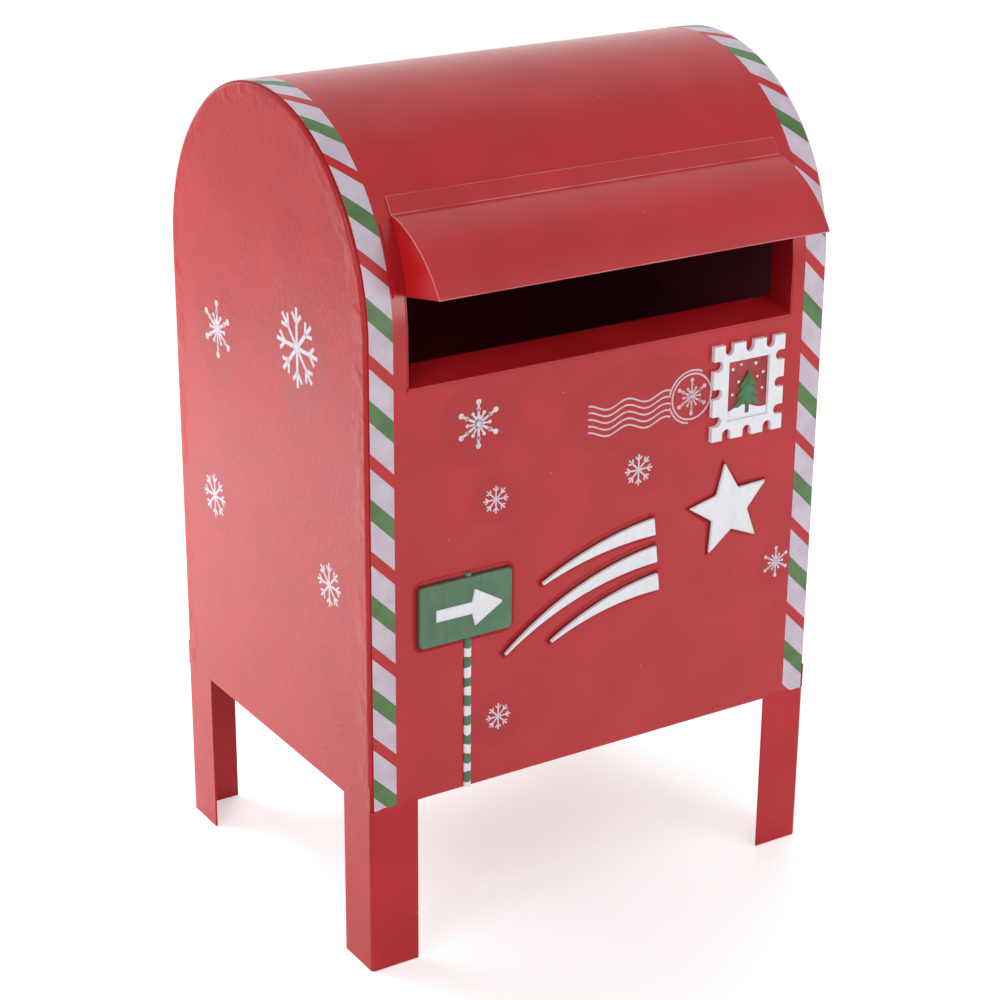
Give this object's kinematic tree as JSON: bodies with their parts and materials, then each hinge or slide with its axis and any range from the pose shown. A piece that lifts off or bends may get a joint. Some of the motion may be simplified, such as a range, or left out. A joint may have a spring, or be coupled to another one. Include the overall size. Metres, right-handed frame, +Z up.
{
  "type": "tin money box",
  "caption": "Letter-box-shaped tin money box on folded angle legs, with a half-round roof, a hooded slot across the front and a hinged rear door with a magnet catch for emptying it.",
  "frame": {"origin": "on the ground, in the middle of the four legs", "axes": "+Z up, the front with the slot faces -Y, +X to the right seen from the front"},
  "size_m": [0.2, 0.1878, 0.32],
  "materials": {
    "red_enamel": "satin-gloss sprayed enamel on tin sheet",
    "slot_enamel": "the same enamel, thinner inside the slot",
    "relief_white": "hand-painted white over pressed tin",
    "sign_green": "hand-painted green over pressed tin",
    "plated_steel": "bright zinc plate",
    "ferrite": "sintered, matt dark grey"
  },
  "bodies": {
    "box": {"body_wrap": "red_enamel", "end_pan_left": "red_enamel", "end_pan_right": "red_enamel", "floor_tray": "red_enamel", "leg_front_left": "red_enamel", "leg_front_right": "red_enamel", "leg_back_left": "red_enamel", "leg_back_right": "red_enamel", "slot_liner": "slot_enamel", "hood_sheet": "red_enamel", "hood_cheek_left": "red_enamel", "hood_cheek_right": "red_enamel", "hinge_upper_fixed_leaf": "plated_steel", "hinge_upper_pin": "plated_steel", "hinge_lower_fixed_leaf": "plated_steel", "hinge_lower_pin": "plated_steel", "fixed_leaf_rivets": "plated_steel", "magnet_bracket": "plated_steel", "magnet": "ferrite", "magnet_rivets": "plated_steel", "sign_plate": "sign_green", "sign_pole": "sign_green", "stamp": "relief_white", "star": "relief_white", "star_tail": "relief_white"},
    "door": {"rear_door": "red_enamel", "door_knob": "plated_steel", "knob_screw": "plated_steel", "hinge_upper_door_leaf": "plated_steel", "hinge_lower_door_leaf": "plated_steel", "door_leaf_rivets": "plated_steel"}
  },
  "joints": [
    {"name": "rear_door_hinge", "type": "hinge", "parent": "box", "child": "door", "pos_m": [-0.07585, 0.07695, 0.156], "axis": [0, 0, 1], "range_deg": [0, 160]}
  ]
}
